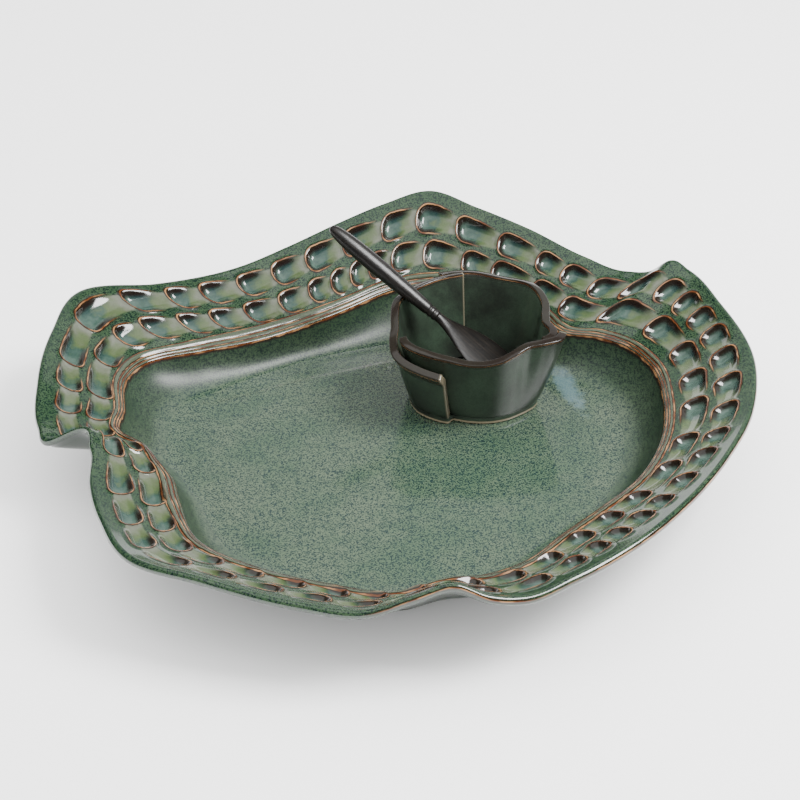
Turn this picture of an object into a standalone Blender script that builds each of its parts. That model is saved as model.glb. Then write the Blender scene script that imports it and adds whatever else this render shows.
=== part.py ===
"""Chip and dip server in stoneware, with a wooden spreader.

A thrown platter is pinched into three ruffled lobes, a small slab-built dip bowl stands loose on
its floor, and a carved spreader leans in the bowl.  Metres, +Z up; the origin lies on the table,
under the middle of the platter's outline.
"""
import math

import bmesh
import bpy
import numpy as np
from mathutils import Matrix, Vector

MM = 0.001
GAP = 0.0003                # left between pieces that touch

# Platter, as it leaves the wheel: a round dish that is the same all the way round.
RIM_RADIUS = 0.178
RIM_WIDTH = 0.042           # from the rim's edge in to the shoulder
WALL_RUN = 0.026            # from the shoulder in to where the floor is flat
FOOT_INSET = 0.016          # from there in to the outside of the trimmed foot ring
FOOT_WIDTH = 0.011
FOOT_HEIGHT = 0.0060
FOOT_BEVEL = 0.0015
FLOOR_THICKNESS = 0.0070
WALL_RISE = 0.0195          # from the floor up to the shoulder
RIM_RISE = 0.0180           # from the shoulder up to the rim's edge
WALL_THICKNESS = 0.0060
LIP_THICKNESS = 0.0046
RIM_FLARE = 0.20            # how much the rim curls up towards its edge, 0 is straight
WALL_TURN = math.radians(80)    # how steep the wall is where it meets the rim
SHOULDER_RADIUS = RIM_RADIUS - RIM_WIDTH
FLOOR_RADIUS = SHOULDER_RADIUS - WALL_RUN
FOOT_RADIUS = FLOOR_RADIUS - FOOT_INSET
FLOOR_HEIGHT = FOOT_HEIGHT + FLOOR_THICKNESS
SHOULDER_HEIGHT = FLOOR_HEIGHT + WALL_RISE
RIM_HEIGHT = SHOULDER_HEIGHT + RIM_RISE

# Hand-pinched ruffle: bearing in degrees, then millimetres pushed outward and lifted from the
# thrown round.  The three pinches are near bearings 42, 195 and 279.
RIM_RUFFLE = (
    (8, 11.5, 5.5), (24, 15, 8.5), (34, 18, 12), (37.5, 15.5, 13.5), (40, 11, 5), (44, 3, 2),
    (52, -4.5, 5.5), (64, -3.5, 12.5), (75, 0, 19), (84, 5, 24.5), (92, -3, 20),
    (101, -10, 13), (112, -14.5, 4.5), (124, -14, -1.5), (140, -1, 0.5), (152, 18, 8.5),
    (164, 13, 6), (177, 8, 1), (187, 5, -7), (190.5, 1, -9), (193, -14, 1),
    (199, -18, -1), (208, -9.5, -3), (218, 0, -3), (229, 11, -1.5), (241, 7.5, 0.5),
    (256, 4.5, -3), (266, 4, -4), (273, -1, 1), (279, -3, 4.5), (284, 0.5, -2),
    (289, 2, -5), (298, -1, -3.5), (310, -4, -1.5), (325, -6, -0.5), (340, -3, 0.5),
    (354, 4.5, 1.5),
)
SHOULDER_RUFFLE = (
    (6, 5, 0.5), (22, 10, 0.5), (31, 7, 0.5), (37, 0, 0.5), (42, -10, 1),
    (52, -6, 2), (65, 0, 3), (80, 1, 4), (91, -8, 3.5), (103, -20, 0.5),
    (119, -25.5, -2.5), (135, -21, -3), (147, -8, -2), (158, 9, 0), (166, 11, 1.5),
    (178, 5, 1.5), (187, 5, 3), (192, -4, 3), (200, -10, 1.5), (207, -12, 0.5),
    (216, -6, -0.5), (229, 6, -1.5), (241, 5, -3.5), (256, 4, -4.5), (271, 7, -4),
    (280, 2, -2), (288, 1, -4), (296, 1, -2), (308, -7, -1.5), (320, -8, -0.5),
    (335, -3.5, 0), (352, 1, 0.5),
)
PLATTER_COLUMNS = 120

# Dip bowl: a base slab and three wall slabs, each starting inside one neighbour's end and
# ending outside the other's start.
BOWL_BEARING = math.radians(54.2)   # from the middle of the thrown platter
BOWL_CLEARANCE = 0.0073     # mid-wall at the foot to the edge of the flat floor
BOWL_BASE_THICKNESS = 0.0040
BOWL_RADIUS = 0.0430        # mid-wall, at the rim
BOWL_FOOT_SHARE = 0.74      # mid-wall at the foot, as a share of the rim's reach
BOWL_FLARE = 0.8            # below 1 the wall leans out most at its foot
BOWL_FOOT_ROUNDNESS = 0.80  # how much of the rim's corners the foot has lost
SLAB_THICKNESS = 0.0042
LAP_GAP = 0.0007            # between two slabs where they lap
BOWL_WALL_HEIGHT = 0.0430   # from the base slab to the rim
LAP_START, LAP_RUN = 0.18, 0.64     # where along a slab it moves from inside to outside
BOWL_REACH = FLOOR_RADIUS - BOWL_RADIUS * BOWL_FOOT_SHARE - BOWL_CLEARANCE
BOWL_X = BOWL_REACH * math.cos(BOWL_BEARING)
BOWL_Y = BOWL_REACH * math.sin(BOWL_BEARING)
# Bearing in degrees, and millimetres out from the round: a soft triangle with one long corner.
BOWL_OUTLINE = (
    (0, -2), (25, 1), (48, 3), (70, 1), (97, 1), (120, 1), (140, 1), (158, 1.5), (177, -1),
    (193, -1), (206, 2), (218, 5.5), (234, 3.5), (250, 0), (266, -1), (284, -2), (300, -4),
    (314, -4.5), (324, 0), (333, 4.5), (342, 3.5), (350, -1),
)
# Each wall slab: first and last bearing, then its top edge as bearing and millimetres of lift.
WALL_SLABS = {
    "left": (96, 248, ((96, 3), (125, 2), (160, 1), (185, -0.5), (205, -2), (222, -6), (248, -12))),
    "front": (212, 340, ((212, 1), (232, -1.5), (250, -4), (272, -5.5), (290, -4), (306, -1),
                         (325, 0), (340, 0))),
    "back": (328, 472, ((328, -1), (350, 0), (383, 0), (405, 1), (428, 0), (450, 1.5), (472, 2))),
}
SLAB_STEP = 4               # degrees between sections, which all lie on multiples of it

# Spreader: one carved piece of wood.  Its handle rests on the bowl's rim, its blade is inside.
SPREADER_LENGTH = 0.1290
SPREADER_ROLL = 12.0        # degrees about its own length, towards the front
SPREADER_WIDTH = 0.0270     # across the blade
HANDLE_SHARE = 0.40         # the handle's width as a share of the blade's
HANDLE_FLATNESS = 0.80      # its thickness as a share of its own width
REST_OUT = (-0.906, 0.452)  # where it crosses the rim, in shares of the bowl's radius
REST_CLEARANCE = 0.0002     # between its thickest underside and the inner corner of that rim
TIP_OUT = (0.522, -0.066)   # where the blade ends, in shares of the bowl's radius
TIP_HEIGHT = 0.0047         # above the base slab
# Along the handle as a share of the spreader's length: width as a share of the handle's.
HANDLE_SECTIONS = (
    (0.000, 0.25), (0.012, 0.50), (0.035, 0.68), (0.090, 0.88), (0.170, 0.98), (0.260, 1.00),
    (0.360, 0.93), (0.450, 0.80), (0.510, 0.69), (0.560, 0.62),
)
# The same along the blade: width as a share of the blade's, and half-thickness in millimetres.
BLADE_SECTIONS = (
    (0.600, 0.20, 2.1), (0.645, 0.34, 1.9), (0.690, 0.52, 1.6), (0.745, 0.76, 1.4),
    (0.815, 0.94, 1.2), (0.890, 1.00, 1.1), (0.950, 0.90, 0.9), (0.985, 0.60, 0.7),
    (1.000, 0.24, 0.5),
)
SPREADER_SIDES = 14


def clear_scene():
    for thing in list(bpy.data.objects):
        bpy.data.objects.remove(thing, do_unlink=True)


def new_collection(name):
    collection = bpy.data.collections.new(name)
    bpy.context.scene.collection.children.link(collection)
    return collection


def new_material(name, colour, roughness, metallic=0.0):
    material = bpy.data.materials.new(name)
    material.use_nodes = True
    shader = material.node_tree.nodes["Principled BSDF"]
    shader.inputs["Base Color"].default_value = (*colour, 1.0)
    shader.inputs["Roughness"].default_value = roughness
    shader.inputs["Metallic"].default_value = metallic
    return material


def around(stations, column, bearings):
    """Smooth closed curve through one column of the stations, read at bearings in degrees."""
    at = np.array([row[0] for row in stations], float)
    value = np.array([row[column] for row in stations], float)
    at = np.concatenate((at[-2:] - 360.0, at, at[:3] + 360.0))
    value = np.concatenate((value[-2:], value, value[:3]))
    slope = np.gradient(value, at)
    where = (np.asarray(bearings, float) - at[1]) % 360.0 + at[1]
    left = np.clip(np.searchsorted(at, where, side="right") - 1, 0, len(at) - 2)
    return hermite(at, value, slope, left, where)


def along(stations, column, positions):
    """Smooth open curve through one column of the stations."""
    at = np.array([row[0] for row in stations], float)
    value = np.array([row[column] for row in stations], float)
    slope = np.gradient(value, at)
    where = np.asarray(positions, float)
    left = np.clip(np.searchsorted(at, where, side="right") - 1, 0, len(at) - 2)
    return hermite(at, value, slope, left, where)


def hermite(at, value, slope, left, where):
    span = at[left + 1] - at[left]
    t = (where - at[left]) / span
    rise = (value[left] * (2 * t**3 - 3 * t**2 + 1) + value[left + 1] * (3 * t**2 - 2 * t**3))
    lean = (slope[left] * (t**3 - 2 * t**2 + t) + slope[left + 1] * (t**3 - t**2))
    return rise + lean * span


def loft(name, rings, material, collection):
    """Closed skin over a row of rings with equal numbers of points, with both ends capped."""
    bm = bmesh.new()
    rows = [[bm.verts.new(point) for point in ring] for ring in rings]
    for near, far in zip(rows, rows[1:]):
        for i in range(len(near)):
            j = (i + 1) % len(near)
            bm.faces.new((near[i], near[j], far[j], far[i]))
    bm.faces.new(rows[0][::-1])
    bm.faces.new(rows[-1])
    bmesh.ops.recalc_face_normals(bm, faces=bm.faces)
    mesh = bpy.data.meshes.new(name)
    bm.to_mesh(mesh)
    bm.free()
    return add_object(name, mesh, material, collection)


def add_object(name, data, material, collection):
    data.materials.append(material)
    thing = bpy.data.objects.new(name, data)
    collection.objects.link(thing)
    return thing


def thrown_profile():
    """Half section of the round dish: out over the top, round the lip and back underneath."""
    wall = []
    for step in range(6):
        turn = WALL_TURN * step / 5
        out = math.sin(turn) / math.sin(WALL_TURN)
        up = (1 - math.cos(turn)) / (1 - math.cos(WALL_TURN))
        wall.append((FLOOR_RADIUS + (SHOULDER_RADIUS - FLOOR_RADIUS) * out,
                     FLOOR_HEIGHT + (SHOULDER_HEIGHT - FLOOR_HEIGHT) * up))
    rim = []
    lip = LIP_THICKNESS / 2
    for share in (0.33, 0.66, 1.0):
        bend = (1 - RIM_FLARE) * share + RIM_FLARE * share**2
        rim.append((SHOULDER_RADIUS + (RIM_RADIUS - lip - SHOULDER_RADIUS) * share,
                    SHOULDER_HEIGHT + (RIM_HEIGHT - SHOULDER_HEIGHT) * bend))
    top = [(FLOOR_RADIUS * share, FLOOR_HEIGHT) for share in (0.0, 0.35, 0.7)] + wall + rim
    edge_r, edge_z = rim[-1]
    edge = [(edge_r + lip * math.sin(turn), edge_z - lip + lip * math.cos(turn))
            for turn in (math.radians(50), math.radians(90), math.radians(130))]
    under = [(edge_r - lip * 0.2, edge_z - LIP_THICKNESS)]
    for r, z in reversed(rim[:-1]):
        share = (r - SHOULDER_RADIUS) / (edge_r - SHOULDER_RADIUS)
        thick = WALL_THICKNESS + (LIP_THICKNESS - WALL_THICKNESS) * share
        under.append((r + 0.3 * thick, z - thick))
    drop = SHOULDER_HEIGHT - WALL_THICKNESS - FOOT_HEIGHT
    outer = SHOULDER_RADIUS + 0.5 * WALL_THICKNESS
    inner = FLOOR_RADIUS + 0.2 * WALL_THICKNESS
    for out, up in ((1.0, 1.0), (0.80, 0.58), (0.52, 0.25), (0.22, 0.05), (0.0, 0.0)):
        under.append((inner + (outer - inner) * out, FOOT_HEIGHT + drop * up))
    ring = FOOT_RADIUS - FOOT_WIDTH
    foot = [(FOOT_RADIUS + 2 * FOOT_BEVEL, FOOT_HEIGHT), (FOOT_RADIUS, FOOT_BEVEL),
            (FOOT_RADIUS - FOOT_BEVEL, 0.0), (ring + FOOT_BEVEL, 0.0), (ring, FOOT_BEVEL),
            (ring - FOOT_BEVEL, FOOT_HEIGHT), (ring / 2, FOOT_HEIGHT), (0.0, FOOT_HEIGHT)]
    return top + edge + under + foot


def turn_profile(name, profile, steps):
    """Turned mesh object from a half section, as the wheel makes it."""
    mesh = bpy.data.meshes.new(name)
    mesh.from_pydata([(r, 0.0, z) for r, z in profile],
                     [(i, i + 1) for i in range(len(profile) - 1)], [])
    blank = bpy.data.objects.new(name + "_blank", mesh)
    bpy.context.scene.collection.objects.link(blank)
    screw = blank.modifiers.new("wheel", "SCREW")
    screw.axis = "Z"
    screw.angle = 2 * math.pi
    screw.steps = steps
    screw.render_steps = steps
    screw.use_merge_vertices = True
    screw.merge_threshold = 0.00001
    bpy.context.view_layer.update()
    turned = bpy.data.meshes.new_from_object(blank.evaluated_get(
        bpy.context.evaluated_depsgraph_get()))
    bpy.data.objects.remove(blank, do_unlink=True)
    turned.name = name
    return turned


def rim_point(bearings):
    turn = np.radians(bearings)
    reach = RIM_RADIUS + MM * around(RIM_RUFFLE, 1, bearings)
    height = RIM_HEIGHT + MM * around(RIM_RUFFLE, 2, bearings)
    return reach * np.cos(turn), reach * np.sin(turn), height


def even_bearings(thrown):
    """Bearings that follow the thrown ones, but evenly spread along the ruffled edge."""
    fine = np.linspace(0.0, 360.0, 3601)
    x, y, z = rim_point(fine)
    run = np.concatenate(([0.0], np.cumsum(np.sqrt(np.diff(x)**2 + np.diff(y)**2 + np.diff(z)**2))))
    return np.interp(np.asarray(thrown) % 360.0 / 360.0 * run[-1], run, fine)


def outline_centre():
    """Middle of the ruffled rim's box, which the whole server is centred on."""
    x, y, _ = rim_point(np.linspace(0.0, 360.0, 3601))
    return (x.max() + x.min()) / 2, (y.max() + y.min()) / 2


def ruffle(mesh, centre):
    """Pinch and lift the round dish: the floor stays put, the shoulder and the rim follow."""
    co = np.empty(len(mesh.vertices) * 3, np.float32)
    mesh.vertices.foreach_get("co", co)
    co = co.reshape(-1, 3).astype(float)
    radius = np.hypot(co[:, 0], co[:, 1])
    bearing = even_bearings(np.degrees(np.arctan2(co[:, 1], co[:, 0])))
    shoulder_out = MM * around(SHOULDER_RUFFLE, 1, bearing)
    shoulder_up = MM * around(SHOULDER_RUFFLE, 2, bearing)
    rim_out = MM * around(RIM_RUFFLE, 1, bearing)
    rim_up = MM * around(RIM_RUFFLE, 2, bearing)
    inside = np.clip(radius / SHOULDER_RADIUS, 0.0, 1.0)
    across = np.clip((radius - SHOULDER_RADIUS) / (RIM_RADIUS - SHOULDER_RADIUS), 0.0, 1.1)
    climb = np.clip((radius - FLOOR_RADIUS) / (SHOULDER_RADIUS - FLOOR_RADIUS), 0.0, 1.0)
    on_foot = np.clip((radius - FOOT_RADIUS) / (FLOOR_RADIUS - FOOT_RADIUS), 0.0, 1.0)
    push = shoulder_out * inside**4 * on_foot + (rim_out - shoulder_out) * across
    lift = shoulder_up * climb**1.5 + (rim_up - shoulder_up) * across
    turn = np.radians(bearing)
    co[:, 0] = (radius + push) * np.cos(turn) - centre[0]
    co[:, 1] = (radius + push) * np.sin(turn) - centre[1]
    co[:, 2] += lift
    mesh.vertices.foreach_set("co", co.astype(np.float32).ravel())
    mesh.update()


def make_platter(collection, centre):
    glaze = new_material("sage_glaze", (0.17, 0.26, 0.20), 0.16)
    mesh = turn_profile("platter", thrown_profile(), PLATTER_COLUMNS)
    ruffle(mesh, centre)
    mesh.shade_smooth()
    return add_object("platter", mesh, glaze, collection)


def slab_offset(name, bearing):
    """How far a wall slab stands out from the mid-wall: it moves from inside to outside."""
    first, last, _ = WALL_SLABS[name]
    swing = (SLAB_THICKNESS + LAP_GAP) / 2
    share = np.clip(((bearing - first) / (last - first) - LAP_START) / LAP_RUN, 0.0, 1.0)
    return swing * (2 * (3 * share**2 - 2 * share**3) - 1)


def wall_section(name, bearing):
    """Section of a wall slab, up its inner face, over its rounded edge and down its outer face."""
    corner = MM * float(around(BOWL_OUTLINE, 1, bearing))
    top = BOWL_WALL_HEIGHT + MM * float(along(WALL_SLABS[name][2], 1, bearing))
    stand = float(slab_offset(name, bearing))
    half = SLAB_THICKNESS / 2
    section = []
    for side, share in ((-1.0, 0.0), (-1.0, 0.35), (-1.0, 0.7), (-1.0, 0.96), (-0.5, 1.0),
                        (0.5, 1.0), (1.0, 0.96), (1.0, 0.7), (1.0, 0.35), (1.0, 0.0)):
        height = share * top
        climb = (height / BOWL_WALL_HEIGHT)**BOWL_FLARE
        reach = BOWL_RADIUS * (BOWL_FOOT_SHARE + (1 - BOWL_FOOT_SHARE) * climb)
        reach += corner * (1 - BOWL_FOOT_ROUNDNESS * (1 - climb))
        section.append((reach + stand + side * half, height))
    return section


def make_wall(name, material, collection):
    first, last, _ = WALL_SLABS[name]
    rings = []
    for bearing in range(first, last + SLAB_STEP, SLAB_STEP):
        turn = math.radians(bearing)
        rings.append([Vector((reach * math.cos(turn), reach * math.sin(turn), height))
                      for reach, height in wall_section(name, bearing)])
    wall = loft("dip_bowl_wall_" + name, rings, material, collection)
    wall.location.z = BOWL_BASE_THICKNESS + GAP
    wall.data.shade_smooth()
    return wall


def make_bowl_base(material, collection):
    """Flat slab cut to the outer face of the walls that stand on it."""
    curve = bpy.data.curves.new("dip_bowl_base", "CURVE")
    curve.dimensions = "2D"
    curve.fill_mode = "BOTH"
    curve.extrude = BOWL_BASE_THICKNESS / 2
    bearings = range(0, 360, SLAB_STEP)
    spline = curve.splines.new("POLY")
    spline.points.add(len(bearings) - 1)
    for point, bearing in zip(spline.points, bearings):
        reaches = []
        for name, (first, last, _) in WALL_SLABS.items():
            for turn in (bearing, bearing + 360):
                if first <= turn <= last:
                    reaches.append(wall_section(name, turn)[-1][0])
        reach, turn = max(reaches), math.radians(bearing)
        point.co = (reach * math.cos(turn), reach * math.sin(turn), 0.0, 1.0)
    spline.use_cyclic_u = True
    base = add_object("dip_bowl_base", curve, material, collection)
    base.location.z = BOWL_BASE_THICKNESS / 2
    return base


def make_dip_bowl(collection, centre):
    glaze = new_material("dark_glaze", (0.020, 0.035, 0.028), 0.14)
    clay = new_material("bowl_foot_clay", (0.42, 0.33, 0.20), 0.45)
    stand = bpy.data.objects.new("dip_bowl_stand", None)
    stand.location = (BOWL_X - centre[0], BOWL_Y - centre[1], FLOOR_HEIGHT + GAP)
    collection.objects.link(stand)
    pieces = [make_bowl_base(clay, collection)]
    pieces += [make_wall(name, glaze, collection) for name in WALL_SLABS]
    for piece in pieces:
        piece.parent = stand
    return pieces


def spreader_sections():
    """Share of the length, half-width and half-thickness, from butt to tip."""
    half = SPREADER_WIDTH * HANDLE_SHARE / 2
    handle = [(share, wide * half, wide * half * HANDLE_FLATNESS) for share, wide in HANDLE_SECTIONS]
    blade = [(share, wide * SPREADER_WIDTH / 2, thick * MM) for share, wide, thick in BLADE_SECTIONS]
    return handle + blade


def spreader_line():
    """Butt of the spreader and its direction: it lies across the rim with its tip in the bowl."""
    floor = FLOOR_HEIGHT + GAP + BOWL_BASE_THICKNESS
    middle = Vector((BOWL_X, BOWL_Y, floor))
    tip = middle + Vector((TIP_OUT[0] * BOWL_RADIUS, TIP_OUT[1] * BOWL_RADIUS, TIP_HEIGHT))
    rest = middle + Vector((REST_OUT[0] * BOWL_RADIUS, REST_OUT[1] * BOWL_RADIUS, 0.0))
    bearing = math.degrees(math.atan2(REST_OUT[1], REST_OUT[0]))
    rim = BOWL_WALL_HEIGHT + MM * float(along(WALL_SLABS["left"][2], 1, bearing))
    run = math.hypot(tip.x - rest.x, tip.y - rest.y)
    slope = math.atan2(rim - TIP_HEIGHT, run)
    under = SPREADER_WIDTH * HANDLE_SHARE * HANDLE_FLATNESS / 2 + REST_CLEARANCE
    rest.z = floor + rim + under / math.cos(slope) + SLAB_THICKNESS / 2 * math.tan(slope)
    ahead = (tip - rest).normalized()
    return tip - ahead * SPREADER_LENGTH, ahead


def make_spreader(collection, centre):
    wood = new_material("ebonised_wood", (0.018, 0.015, 0.013), 0.38)
    rings = []
    for share, wide, thick in spreader_sections():
        turns = [2 * math.pi * i / SPREADER_SIDES for i in range(SPREADER_SIDES)]
        rings.append([Vector((share * SPREADER_LENGTH, wide * math.cos(t), thick * math.sin(t)))
                      for t in turns])
    spreader = loft("spreader", rings, wood, collection)
    spreader.data.shade_smooth()
    butt, ahead = spreader_line()
    side = Vector((0.0, 0.0, 1.0)).cross(ahead).normalized()
    up = ahead.cross(side)
    lie = Matrix((ahead, side, up)).transposed().to_4x4()
    roll = Matrix.Rotation(math.radians(SPREADER_ROLL), 4, "X")
    place = Matrix.Translation(butt - Vector((*centre, 0.0)))
    spreader.matrix_world = place @ lie @ roll
    return spreader


def main():
    clear_scene()
    server = new_collection("chip_and_dip_server")
    centre = outline_centre()
    make_platter(server, centre)
    make_dip_bowl(server, centre)
    make_spreader(server, centre)
    bpy.context.view_layer.update()


main()
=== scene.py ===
"""Looks of the chip and dip server: a pinched stoneware platter, a slab-built dip bowl that
stands loose on its floor, and a carved wooden spreader.  Metres, +Z up, in the model's frame.
"""
import math

import bpy
import numpy as np
from mathutils import Matrix, Vector


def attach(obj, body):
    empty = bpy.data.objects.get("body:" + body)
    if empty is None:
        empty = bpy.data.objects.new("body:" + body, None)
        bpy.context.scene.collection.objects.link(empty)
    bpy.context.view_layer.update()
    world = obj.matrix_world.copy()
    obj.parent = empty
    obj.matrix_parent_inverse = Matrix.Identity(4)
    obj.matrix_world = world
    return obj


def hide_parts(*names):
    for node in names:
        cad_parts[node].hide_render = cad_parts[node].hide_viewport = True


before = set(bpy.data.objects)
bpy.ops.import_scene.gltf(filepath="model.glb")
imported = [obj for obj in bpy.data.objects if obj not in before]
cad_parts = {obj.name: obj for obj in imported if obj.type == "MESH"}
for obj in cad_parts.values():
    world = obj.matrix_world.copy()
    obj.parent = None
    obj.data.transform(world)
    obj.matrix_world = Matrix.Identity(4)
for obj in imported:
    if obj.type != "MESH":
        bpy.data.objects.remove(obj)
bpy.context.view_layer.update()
MM = 0.001


# ------------------------------------------------------------------------------------------
# Table, lights and camera
# A plain pale table in even light from all round, with a soft box high on the right, a pale
# ceiling and two pale sheets behind, which lie mirrored in the platter's floor.
TABLE_COLOUR = (0.88, 0.88, 0.88, 1.0)


def new_material(name):
    """A material with a Principled shader, its node tree and that shader."""
    material = bpy.data.materials.new(name)
    material.use_nodes = True
    return material, material.node_tree, material.node_tree.nodes["Principled BSDF"]


def node(tree, kind, inputs=(), **settings):
    """One shader node, with its inputs given as values or as sockets to link."""
    made = tree.nodes.new("ShaderNode" + kind)
    for key, value in settings.items():
        setattr(made, key, value)
    for key, value in dict(inputs).items():
        if isinstance(value, bpy.types.NodeSocket):
            tree.links.new(value, made.inputs[key])
        else:
            made.inputs[key].default_value = value
    return made


def only_select(thing):
    """Make one object the only selected and active one."""
    bpy.ops.object.select_all(action="DESELECT")
    thing.select_set(True)
    bpy.context.view_layer.objects.active = thing


def soft_box(name, place, aim, width, height, power):
    """Area light at a place, aimed at a point."""
    lamp = bpy.data.lights.new(name, "AREA")
    lamp.shape = "RECTANGLE"
    lamp.size, lamp.size_y = width, height
    lamp.energy = power
    box = bpy.data.objects.new(name, lamp)
    box.location = place
    box.rotation_euler = (Vector(aim) - Vector(place)).to_track_quat("-Z", "Y").to_euler()
    bpy.context.scene.collection.objects.link(box)
    return box


bpy.ops.object.select_all(action="DESELECT")
bpy.ops.mesh.primitive_plane_add(size=14.0, location=(0.0, 0.0, -0.0002))
table = bpy.context.active_object
table.name = "table_top"
table_material, _, table_shader = new_material("table_paper")
table_shader.inputs["Base Color"].default_value = TABLE_COLOUR
table_shader.inputs["Roughness"].default_value = 0.9
table_shader.inputs["Specular IOR Level"].default_value = 0.0
table.data.materials.append(table_material)

world = bpy.data.worlds.new("studio")
bpy.context.scene.world = world
world.use_nodes = True
world.node_tree.nodes["Background"].inputs["Color"].default_value = (1.0, 1.0, 1.0, 1.0)
world.node_tree.nodes["Background"].inputs["Strength"].default_value = 2.5
world.cycles_visibility.glossy = False

MIDDLE = (0.0, 0.0, 0.03)
soft_box("box_key", (0.88, -0.12, 1.12), MIDDLE, 0.66, 0.66, 44.0)
soft_box("box_ceiling", (0.0, -0.1, 2.2), MIDDLE, 3.0, 2.2, 22.0)
soft_box("sheet_behind_low", (0.0, 2.6, 0.33), MIDDLE, 6.0, 0.66, 21.0)
soft_box("sheet_behind_high", (0.3, 2.3, 1.35), MIDDLE, 4.0, 1.4, 8.0)

CAMERA_LENS = 100.0
CAMERA_TILT = math.radians(32.0)
CAMERA_DISTANCE = 1.17
CAMERA_AIM = Vector((0.0014, 0.0215, 0.030))
lens = bpy.data.cameras.new("camera")
lens.lens = CAMERA_LENS
lens.sensor_width = 36.0
camera = bpy.data.objects.new("camera", lens)
back_off = Vector((0.0, -math.cos(CAMERA_TILT), math.sin(CAMERA_TILT))) * CAMERA_DISTANCE
camera.location = CAMERA_AIM + back_off
camera.rotation_euler = (math.pi / 2 - CAMERA_TILT, 0.0, 0.0)
bpy.context.scene.collection.objects.link(camera)
bpy.context.scene.camera = camera


# ------------------------------------------------------------------------------------------
# Platter
# One piece of stoneware.  It is thrown as a round dish, its rim is combed with four grooves and
# pressed with two rows of finger prints, and the rim is then pinched into three lobes.
RIM_RADIUS, RIM_HEIGHT = 0.178, 0.0505
SHOULDER_RADIUS, SHOULDER_HEIGHT = 0.136, 0.0325
FLOOR_RADIUS, FLOOR_HEIGHT, FLOOR_THICKNESS = 0.110, 0.0130, 0.0070
WALL_THICKNESS, LIP_THICKNESS = 0.0060, 0.0046
FOOT_RADIUS, FOOT_WIDTH, FOOT_BEVEL = 0.094, 0.011, 0.0015
RIM_FLARE = 0.20
WALL_TURN = math.radians(80)

# Hand-pinched ruffle: bearing in degrees, then millimetres pushed outward and lifted.
RIM_RUFFLE = (
    (8, 11.5, 5.5), (24, 15, 8.5), (34, 18, 12), (37.5, 15.5, 13.5), (40, 11, 5), (44, 3, 2),
    (52, -4.5, 5.5), (64, -3.5, 12.5), (75, 0, 19), (84, 5, 24.5), (92, -3, 20),
    (101, -10, 13), (112, -14.5, 4.5), (124, -14, -1.5), (140, -1, 0.5), (152, 18, 8.5),
    (164, 13, 6), (177, 8, 1), (187, 5, -7), (190.5, 1, -9), (193, -14, 1),
    (199, -18, -1), (208, -9.5, -3), (218, 0, -3), (229, 11, -1.5), (241, 7.5, 0.5),
    (256, 4.5, -3), (266, 4, -4), (273, -1, 1), (279, -3, 4.5), (284, 0.5, -2),
    (289, 2, -5), (298, -1, -3.5), (310, -4, -1.5), (325, -6, -0.5), (340, -3, 0.5),
    (354, 4.5, 1.5),
)
SHOULDER_RUFFLE = (
    (6, 5, 0.5), (22, 10, 0.5), (31, 7, 0.5), (37, 0, 0.5), (42, -10, 1),
    (52, -6, 2), (65, 0, 3), (80, 1, 4), (91, -8, 3.5), (103, -20, 0.5),
    (119, -25.5, -2.5), (135, -21, -3), (147, -8, -2), (158, 9, 0), (166, 11, 1.5),
    (178, 5, 1.5), (187, 5, 3), (192, -4, 3), (200, -10, 1.5), (207, -12, 0.5),
    (216, -6, -0.5), (229, 6, -1.5), (241, 5, -3.5), (256, 4, -4.5), (271, 7, -4),
    (280, 2, -2), (288, 1, -4), (296, 1, -2), (308, -7, -1.5), (320, -8, -0.5),
    (335, -3.5, 0), (352, 1, 0.5),
)

# The bearing of the steep end of each finger print, and the inner row's middle line as a share
# of the rim's width, which drifts outward on the lobes.
INNER_PRINTS = (3, 12, 21, 30.5, 40, 49.5, 58, 68.5, 75.5, 84, 91, 96.5, 101, 106, 112, 120, 129,
                137, 143.5, 150.5, 156.5, 165, 176, 183.5, 189, 197, 205, 216, 224, 231, 238, 246,
                254, 262, 269, 276, 286, 294, 302.5, 311.5, 320, 329, 341, 351)
OUTER_PRINTS = (6, 13.5, 20, 25.5, 30.5, 35, 41, 47, 53.8, 60, 69, 78, 86, 93, 101.5, 110, 118,
                126, 134, 140.5, 148, 159, 170, 177, 183, 190, 200.5, 212, 221, 228, 236, 244,
                252, 260, 268, 277, 287, 296, 303.5, 309, 314.5, 321, 327, 335, 343.5, 350, 358)
ROW_DRIFT = ((5, 0.33), (21, 0.36), (38, 0.33), (52, 0.31), (70, 0.31), (86, 0.33), (105, 0.34),
             (122, 0.35), (150, 0.37), (160, 0.34), (172, 0.29), (185, 0.25), (200, 0.28),
             (225, 0.29), (250, 0.28), (275, 0.28), (300, 0.27), (330, 0.29), (348, 0.31))
ROW_STEP = 0.355            # from the inner row's middle line to the outer's, share of the width
PRINT_HALF_SHARE = 0.158
PRINT_HALF_WIDTH = 7.3      # millimetres
PRINT_ROUND = 6.9           # radius of its steep end
PRINT_SQUARE = 2.3          # 2 makes that end a half circle, more makes it squarer
PRINT_TAPER = 1.6           # how much narrower each side is at the shallow end
PRINT_WALL = 4.6            # how far its steep wall runs down
PRINT_DEPTH = 3.9
GROOVE_SHARES = (0.0, 0.25, 0.54, 1.0)      # combed lines, as shares of the combed band
GROOVE_BAND = ((5, 5.5), (40, 6.5), (75, 7.5), (105, 9), (140, 11), (160, 8), (178, 5.5),
               (198, 4.5), (212, 8.5), (225, 6), (240, 7), (300, 6), (340, 5.5))  # millimetres
RIDGE_HEIGHT = 0.9

COLUMNS = 1000


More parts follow.
